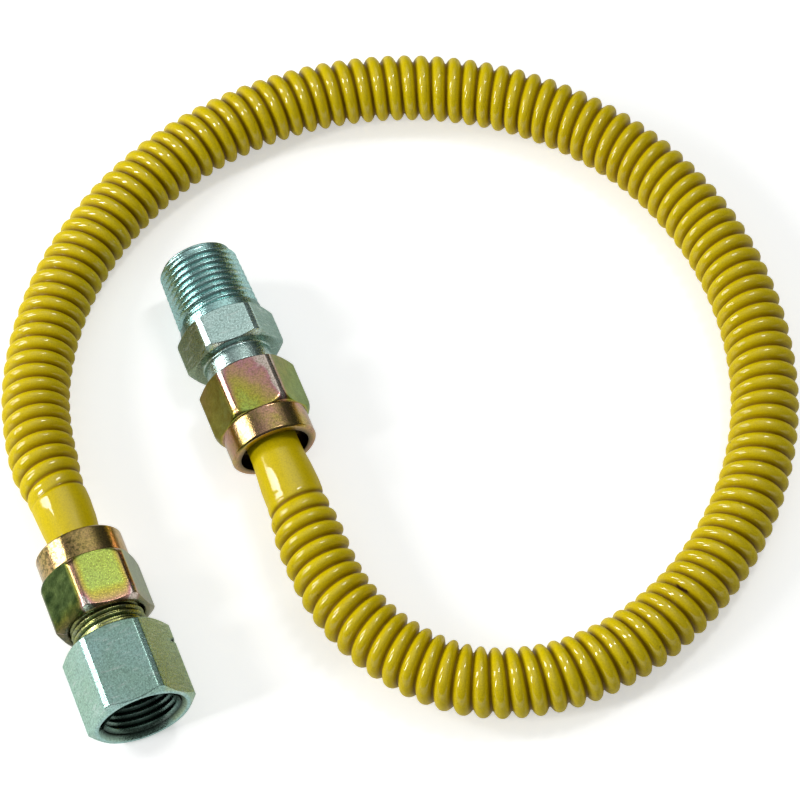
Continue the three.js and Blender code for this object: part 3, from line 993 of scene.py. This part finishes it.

# %% [markdown]
# ## The yellow zinc of the nuts
# The nuts are zinc-plated and passivated yellow. The film is so thin that its colour
# changes with its thickness, from pink over gold and olive to green. It is thin at the
# open face, along the edges of the flats and on the collar, so its thickness is worked
# out from the marks on the mesh: how far out a corner lies, and its angle round the
# bar. Clouds bend the bands. The side flats get painted shade and reflection, each in a
# colour of its own, the inside of the nut is darkened as painted shade, and the female
# nut's collar is pitted. The plating itself is finely grained.

# %% The passivation film
def build_film():
    film = Effect("passivation_film", Thickness=0.5, Unevenness=0.5)
    thickness = film.given["Thickness"]
    for scale, share in ((170.0, 1.0), (1500.0, 0.35)):
        centred = film.math("ADD", film.noise(film.given["Vector"], scale, 2.0), -0.5)
        amount = film.math("MULTIPLY", centred, film.given["Unevenness"])
        thickness = film.math("MULTIPLY_ADD", amount, share, thickness)
    colour = film.ramp(thickness, [
        (0.0, linear(226, 208, 200)), (0.12, linear(204, 142, 152)),
        (0.26, linear(206, 158, 134)), (0.42, linear(200, 172, 104)),
        (0.62, linear(196, 188, 78)), (0.8, linear(188, 206, 98)),
        (1.0, linear(168, 196, 116))])
    return film.give("NodeSocketColor", Color=colour)


film_group = build_film()

# %% Yellow zinc
COLLAR_FROM, COLLAR_FULL = -14.3, -14.7
SIDE_FROM, SIDE_FULL = 0.55, 0.62
NUT_GRAIN_DEPTH = 0.03 * MM


def yellow_zinc(name, start, growth, reach, lean, sides, collar, edge, uneven, painted_side_shade,
                pitted):
    """start is the film's thickness at the open face, growth what it gains over the
    reach inward in mm, and lean how much it differs across a flat. The side flats have
    sides more, the edges of the top flat have edge less, and the collar has its own.
    uneven is how much the clouds change it. painted_side_shade is a colour and a share of
    painted shade and reflection for the flats near 0 degrees, then near 180, and pitted
    how dark the collar's pits are."""
    zinc = Finish(name, Metallic=1.0)
    out, angle = zinc.mark("out"), zinc.math("RADIANS", zinc.mark("round"))
    sideways = zinc.math("COSINE", angle)
    aslant = zinc.math("ABSOLUTE", sideways)
    on_collar = zinc.span(out, COLLAR_FROM, COLLAR_FULL)

    inward = zinc.span(out, 0.0, -reach, start, start + growth)
    tilt = zinc.math("COSINE", zinc.math("MULTIPLY", angle, 3.0))
    leaning = zinc.math("MULTIPLY_ADD", tilt, -lean, inward)
    flats = zinc.math("ADD", leaning, zinc.span(aslant, 0.5, 0.65, 0.0, sides))
    near_edge = zinc.math("POWER", zinc.math("ABSOLUTE", tilt), 18.0)
    border = zinc.math("MULTIPLY", zinc.span(aslant, 0.8, 0.65), near_edge)
    edged = zinc.math("MULTIPLY_ADD", border, -edge, flats)
    thickness = zinc.add("ShaderNodeMix", {0: on_collar, 2: edged, 3: collar},
                         data_type="FLOAT")[0]
    colour = zinc.group(film_group, Thickness=thickness, Unevenness=uneven)["Color"]

    pits = zinc.span(zinc.group(grain_group, Scale=1100.0)["Height"], 0.5, 0.6, 0.0, pitted)
    pitted_side = zinc.math("MULTIPLY", on_collar, zinc.span(sideways, 0.2, -0.4))
    colour = zinc.mix(zinc.math("MULTIPLY", pits, pitted_side), colour, MOSS)
    grain = zinc.group(grain_group, Scale=2300.0, Roughen=0.7)
    colour = zinc.mix(zinc.span(grain["Flecks"], 0.0, 1.0, 0.0, 0.55), colour,
                      linear(104, 98, 52))
    # Painted shade and reflection: each side flat gets its own colour in patches, for what it
    # reflects and the shade it lies in.
    mottle = zinc.group(clouds_group, Scale=420.0, Contrast=2.4)["Amount"]
    off_collar = zinc.math("SUBTRACT", 1.0, on_collar)
    for facing, (tint, share) in zip((1, -1), painted_side_shade):
        aside = zinc.span(sideways, facing * SIDE_FROM, facing * SIDE_FULL)
        patchy = zinc.math("MULTIPLY", aside, zinc.span(mottle, 0.0, 1.0, share * 0.7, share))
        colour = zinc.mix(zinc.math("MULTIPLY", patchy, off_collar), colour, tint)
    specks = zinc.group(specks_group, Scale=520.0, Size=0.22, Share=0.12)["Mask"]
    colour = zinc.mix(zinc.math("MULTIPLY", specks, 0.5), colour, linear(70, 66, 40))
    # Painted shade: the nut's bore, its opening and the roots of its thread are darkened.
    zinc.feed("Base Color", zinc.mix(zinc.mark("deep"), colour, linear(92, 78, 48)))
    rough = zinc.span(grain["Height"], 0.3, 0.7, 0.18, 0.3)
    zinc.feed("Roughness", zinc.math("MULTIPLY_ADD", on_collar, -0.08, rough))
    zinc.bump(grain["Height"], NUT_GRAIN_DEPTH)
    return zinc


# %% Both nuts
OLIVE, LEAF, MOSS = linear(120, 108, 0), linear(100, 120, 30), linear(26, 48, 12)
STEEL_GREEN = linear(112, 122, 98)
male_zinc = yellow_zinc(
    "yellow_zinc_male_end", start=0.1, growth=0.56, reach=14.0, lean=0.2, sides=0.34,
    collar=0.33, edge=0.5, uneven=0.6, painted_side_shade=((OLIVE, 0.96), (LEAF, 0.88)), pitted=0.1)
male_zinc.dress(male_nut, male_nut_thread)
female_zinc = yellow_zinc(
    "yellow_zinc_female_end", start=0.18, growth=0.66, reach=5.0, lean=0.0, sides=0.2,
    collar=0.38, edge=0.6, uneven=0.2, painted_side_shade=((STEEL_GREEN, 0.9), (MOSS, 0.97)),
    pitted=0.75)
female_zinc.dress(female_nut, female_nut_thread)

# %% [markdown]
# ## The clear zinc of the adapters
# The adapters are zinc-plated with a clear, bluish passivation. Their flats show a
# grain left by the bar stock, a little darker and greener in soft clouds, with short
# light scratches. Scratches are stretched noise, cut off so that only its crests show.
# The flare thread and the pipe thread have tints of their own. The side flats carry painted
# reflections, each in a colour of its own, the sides of the pipe thread are darkened as
# painted shade, and so are the thread roots and the bores. The metal is tinted a little
# where it is seen edge-on, and the female hexagon is darker round its nick.

# %% Scratches
def build_scratches():
    scratches = Effect("scratches", Scale=260.0, Rarity=0.66)
    stretched = scratches.vector("MULTIPLY", scratches.given["Vector"], (1.0, 5.0, 1.0))
    turned = scratches.add("ShaderNodeVectorRotate", {"Vector": stretched["Vector"],
                                                      "Axis": (0, 0, 1), "Angle": 0.3})
    crests = scratches.noise(turned["Vector"], scratches.given["Scale"], 3.0, 0.6)
    return scratches.give(Mask=scratches.span(crests, scratches.given["Rarity"], 0.78))


scratches_group = build_scratches()

# %% Clear zinc
EDGE_TINT = (0.78, 0.83, 0.8, 1.0)
FLARE_PART_END, HEXAGON_FROM, HEXAGON_FULL = 5.2, 5.6, 6.0
PIPE_PART_BLEND = 0.3
BAR_GRAIN_DEPTH = 0.06 * MM
NICK_SPOT_RADIUS = 1.5 * MM
NICK_RADIUS = 12.9 * MM
NICK_TURN = FEMALE_TURN + 0.05
NICK_AT = Vector(female_end.place(NICK_RADIUS * math.cos(NICK_TURN),
                                  NICK_RADIUS * math.sin(NICK_TURN), NICK_OUT))


def clear_zinc(name, light, dim, thread_tint, pipe_tint, hexagon_end, side_reflections,
               root_share, steep_shade_share=0.0, darkened_at=None):
    """light and dim are the plating's two shades, thread_tint that of the flare thread,
    and pipe_tint that of what lies beyond hexagon_end in mm. side_reflections is a colour
    and a share of painted reflection for the flats near 0 degrees, then near 180.
    root_share is how dark the painted shade in the thread roots and bores is,
    steep_shade_share how far the sides beyond the hexagon are darkened as painted shade,
    and darkened_at the place of the dark spot round the nick."""
    zinc = Finish(name, Metallic=1.0, Specular_Tint=EDGE_TINT)
    out, angle = zinc.mark("out"), zinc.math("RADIANS", zinc.mark("round"))
    sideways = zinc.math("COSINE", angle)
    beyond = zinc.span(out, hexagon_end - PIPE_PART_BLEND, hexagon_end)
    on_hexagon = zinc.math("SUBTRACT", zinc.span(out, HEXAGON_FROM, HEXAGON_FULL), beyond)

    clouds = zinc.group(clouds_group, Scale=90.0, Contrast=2.6)["Amount"]
    colour = zinc.mix(clouds, light, dim)
    colour = zinc.mix(zinc.span(out, HEXAGON_FROM, FLARE_PART_END), colour, thread_tint)
    colour = zinc.mix(beyond, colour, pipe_tint)
    aslant = zinc.math("ABSOLUTE", sideways)
    # Painted shade: the sides of the pipe thread, turned away from the top, are darkened.
    painted_steep_shade = zinc.math("MULTIPLY", beyond, zinc.span(aslant, 0.35, 0.85, 0.0, steep_shade_share))
    colour = zinc.mix(painted_steep_shade, colour, linear(84, 108, 98))
    # Painted reflection: each side flat of the hexagon gets its own colour for what it
    # reflects.
    for facing, (tint, share) in zip((1, -1), side_reflections):
        aside = zinc.span(sideways, facing * SIDE_FROM, facing * SIDE_FULL, 0.0, share)
        colour = zinc.mix(zinc.math("MULTIPLY", aside, on_hexagon), colour, tint)
    grain = zinc.group(grain_group, Scale=2100.0, Roughen=0.7)
    colour = zinc.mix(zinc.span(grain["Flecks"], 0.0, 1.0, 0.0, 0.55), colour,
                      linear(104, 126, 116))
    scratches = zinc.group(scratches_group, Scale=240.0, Rarity=0.55)["Mask"]
    colour = zinc.mix(zinc.math("MULTIPLY", scratches, 0.6), colour, linear(226, 236, 232))
    # Painted shade: the thread roots and the bores are darkened, more so on the darkened sides.
    rooted = zinc.math("MULTIPLY", zinc.mark("deep"), zinc.math("ADD", painted_steep_shade, root_share))
    colour = zinc.mix(rooted, colour, linear(30, 38, 32))
    # The female hexagon is darkened round its nick.
    if darkened_at is not None:
        colour = zinc.mix(zinc.spot(darkened_at, NICK_SPOT_RADIUS), colour, linear(30, 30, 26))
    zinc.feed("Base Color", colour)
    zinc.feed("Roughness", zinc.span(grain["Height"], 0.3, 0.7, 0.2, 0.34))
    zinc.bump(grain["Height"], BAR_GRAIN_DEPTH)
    return zinc


# %% Both adapters
male_plating = clear_zinc(
    "clear_zinc_male", light=linear(220, 246, 242), dim=linear(200, 230, 226),
    thread_tint=linear(190, 214, 210), pipe_tint=linear(200, 248, 246),
    hexagon_end=MALE_HEX_END / MM,
    side_reflections=((linear(112, 114, 0), 0.75), (linear(130, 160, 144), 0.8)),
    root_share=0.3, steep_shade_share=0.8)
male_plating.dress(male_adapter, male_flare_thread, pipe_thread)
female_plating = clear_zinc(
    "clear_zinc_female", light=linear(176, 214, 208), dim=linear(162, 198, 178),
    thread_tint=linear(206, 208, 122), pipe_tint=linear(176, 214, 208),
    hexagon_end=FEMALE_MOUTH / MM,
    side_reflections=((linear(190, 200, 144), 0.5), (linear(192, 226, 202), 0.4)),
    root_share=0.95, darkened_at=NICK_AT)
female_plating.dress(female_adapter, female_flare_thread, socket_thread)

# %% [markdown]
# ## The studio
# The picture has a plain white ground. The floor is white, and its material shows the
# camera more white than the lamps give it, so the ground stays white while the shadow
# under the hose still shows. Two soft lamps stand to the left, which gives each ridge
# its two short streaks, and a wide dim one hangs above.

# %% The floor
FLOOR_REACH = 1.6
FLOOR_DROP = 0.02 * MM
GROUND_LIFT = 0.48
GLOSSY_SHARE = 0.45


def studio_floor():
    mesh = bpy.data.meshes.new("studio_floor")
    mesh.from_pydata([(x * FLOOR_REACH, y * FLOOR_REACH, 0)
                      for x, y in ((-1, -1), (1, -1), (1, 1), (-1, 1))], [], [(0, 1, 2, 3)])
    floor = bpy.data.objects.new("studio_floor", mesh)
    floor.location.z = -FLOOR_DROP
    scene.collection.objects.link(floor)
    material = bpy.data.materials.new("white_ground")
    material.use_nodes = True
    ground = Nodes(material.node_tree)
    shader = ground.tree.nodes["Principled BSDF"]
    shader.inputs["Base Color"].default_value = (0.9, 0.9, 0.9, 1)
    shader.inputs["Roughness"].default_value = 0.9
    ray = ground.add("ShaderNodeLightPath")
    seen = ground.math("MULTIPLY_ADD", ray["Is Glossy Ray"], GLOSSY_SHARE,
                       ray["Is Camera Ray"])
    lift = ground.math("MULTIPLY", seen, GROUND_LIFT)
    white = ground.add("ShaderNodeEmission", {"Strength": lift})[0]
    both = ground.add("ShaderNodeAddShader", {0: shader.outputs[0], 1: white})[0]
    ground.plug(both, ground.tree.nodes["Material Output"].inputs["Surface"])
    mesh.materials.append(material)
    return floor


studio_floor()


# %% The lamps
LAMP_DISTANCE = 1.2


def lamp(name, direction, size, power):
    light = bpy.data.lights.new(name, "AREA")
    light.shape = "RECTANGLE"
    light.size, light.size_y = size
    light.energy = power
    holder = bpy.data.objects.new(name, light)
    towards = Vector(direction).normalized()
    holder.location = towards * LAMP_DISTANCE
    holder.rotation_mode = "QUATERNION"
    holder.rotation_quaternion = (-towards).to_track_quat("-Z", "Y")
    scene.collection.objects.link(holder)
    print(name, [round(x, 3) for x in holder.location], power, "W")


lamp("left_near_lamp", (-0.87, -0.04, 0.50), (0.15, 0.6), 5.4)
lamp("left_far_lamp", (-0.80, 0.45, 0.40), (0.22, 0.7), 5.6)
lamp("right_top_lamp", (0.37, 0.15, 0.92), (0.16, 0.34), 2.6)

# %% The surrounding light
GLOW_TOWARDS = Vector((0.28, 0.44, 0.85)).normalized()
GLOW_EDGE = 0.84
GLOW_COLOUR = (0.76, 0.79, 0.77, 1)
world = bpy.data.worlds.new("studio_air")
world.use_nodes = True
air = Nodes(world.node_tree)
sky = air.tree.nodes["Background"]
direction = air.add("ShaderNodeTexCoord")["Generated"]
height = air.add("ShaderNodeSeparateXYZ", {0: direction})["Z"]
ceiling = air.ramp(height, [(0.0, (0.04, 0.045, 0.04, 1)), (0.25, (0.05, 0.055, 0.05, 1)),
                            (0.6, (0.14, 0.15, 0.15, 1)), (0.8, (0.28, 0.29, 0.29, 1)),
                            (0.9, (0.44, 0.46, 0.46, 1)), (1.0, (0.55, 0.57, 0.57, 1))])
nearness = air.vector("DOT_PRODUCT", direction, GLOW_TOWARDS)["Value"]
glow = air.span(nearness, GLOW_EDGE, 1.0, interpolation_type="SMOOTHSTEP")
air.plug(air.mix(glow, ceiling, GLOW_COLOUR), sky.inputs["Color"])
sky.inputs["Strength"].default_value = 1.0
scene.world = world
scene.view_settings.view_transform = "Standard"
print("view transform:", scene.view_settings.view_transform)
